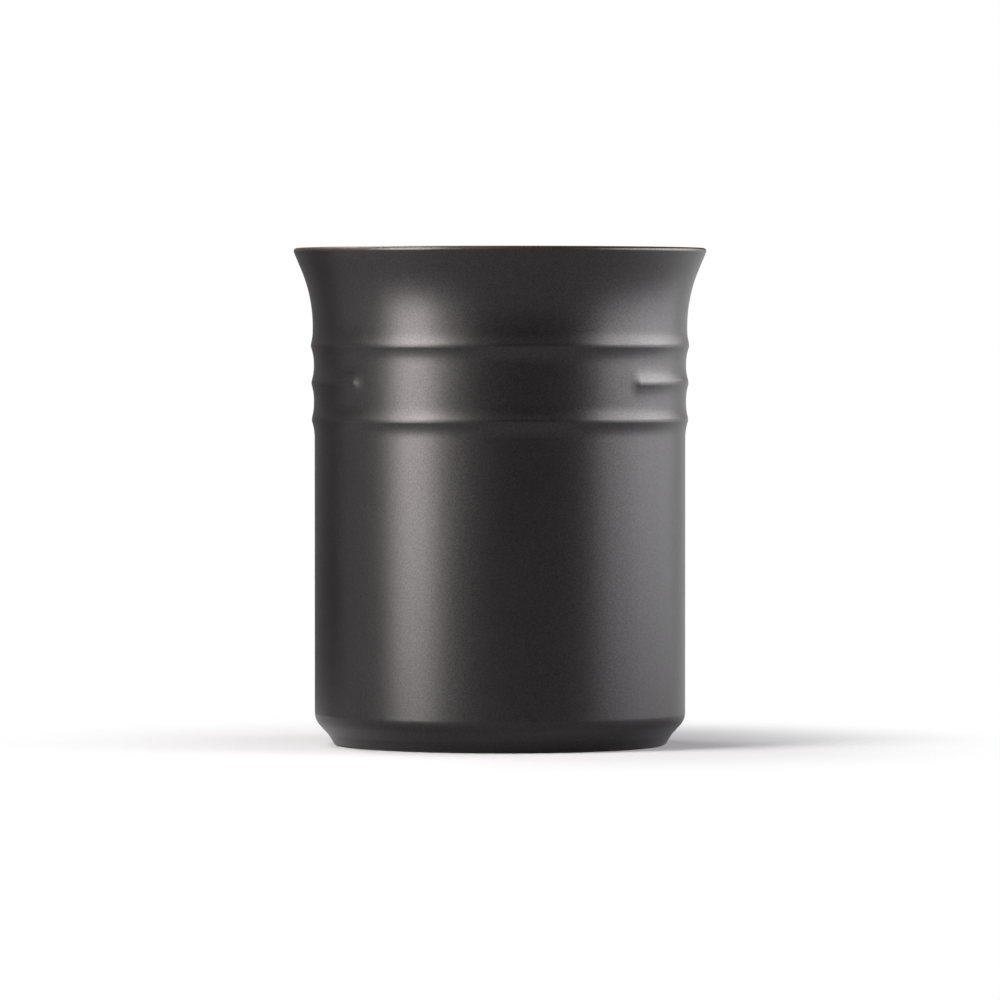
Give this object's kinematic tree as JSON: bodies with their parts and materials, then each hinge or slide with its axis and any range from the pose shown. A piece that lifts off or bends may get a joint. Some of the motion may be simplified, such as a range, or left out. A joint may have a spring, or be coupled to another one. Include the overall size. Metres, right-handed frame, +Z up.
{
  "type": "utensil crock",
  "caption": "Upright cylindrical stoneware crock with a flared mouth, raised bands under the rim and a drawn-in foot, glazed satin black, that holds kitchen utensils.",
  "frame": {"origin": "centre of the foot, on the surface that the crock stands on", "axes": "+Z up along the axis that the crock is turned about, -Y towards the front, where the middle band stops for a plain field"},
  "size_m": [0.1246, 0.1246, 0.15],
  "materials": {
    "fired_clay": "bare, smooth ground foot",
    "black_glaze": "satin black glaze with a fine grain",
    "liner_glaze": "satin black liner glaze",
    "base_glaze": "satin black glaze"
  },
  "bodies": {
    "root": {"stoneware_body": "fired_clay", "outer_glaze": "black_glaze", "inner_glaze": "liner_glaze", "base_glaze": "base_glaze"}
  },
  "joints": []
}
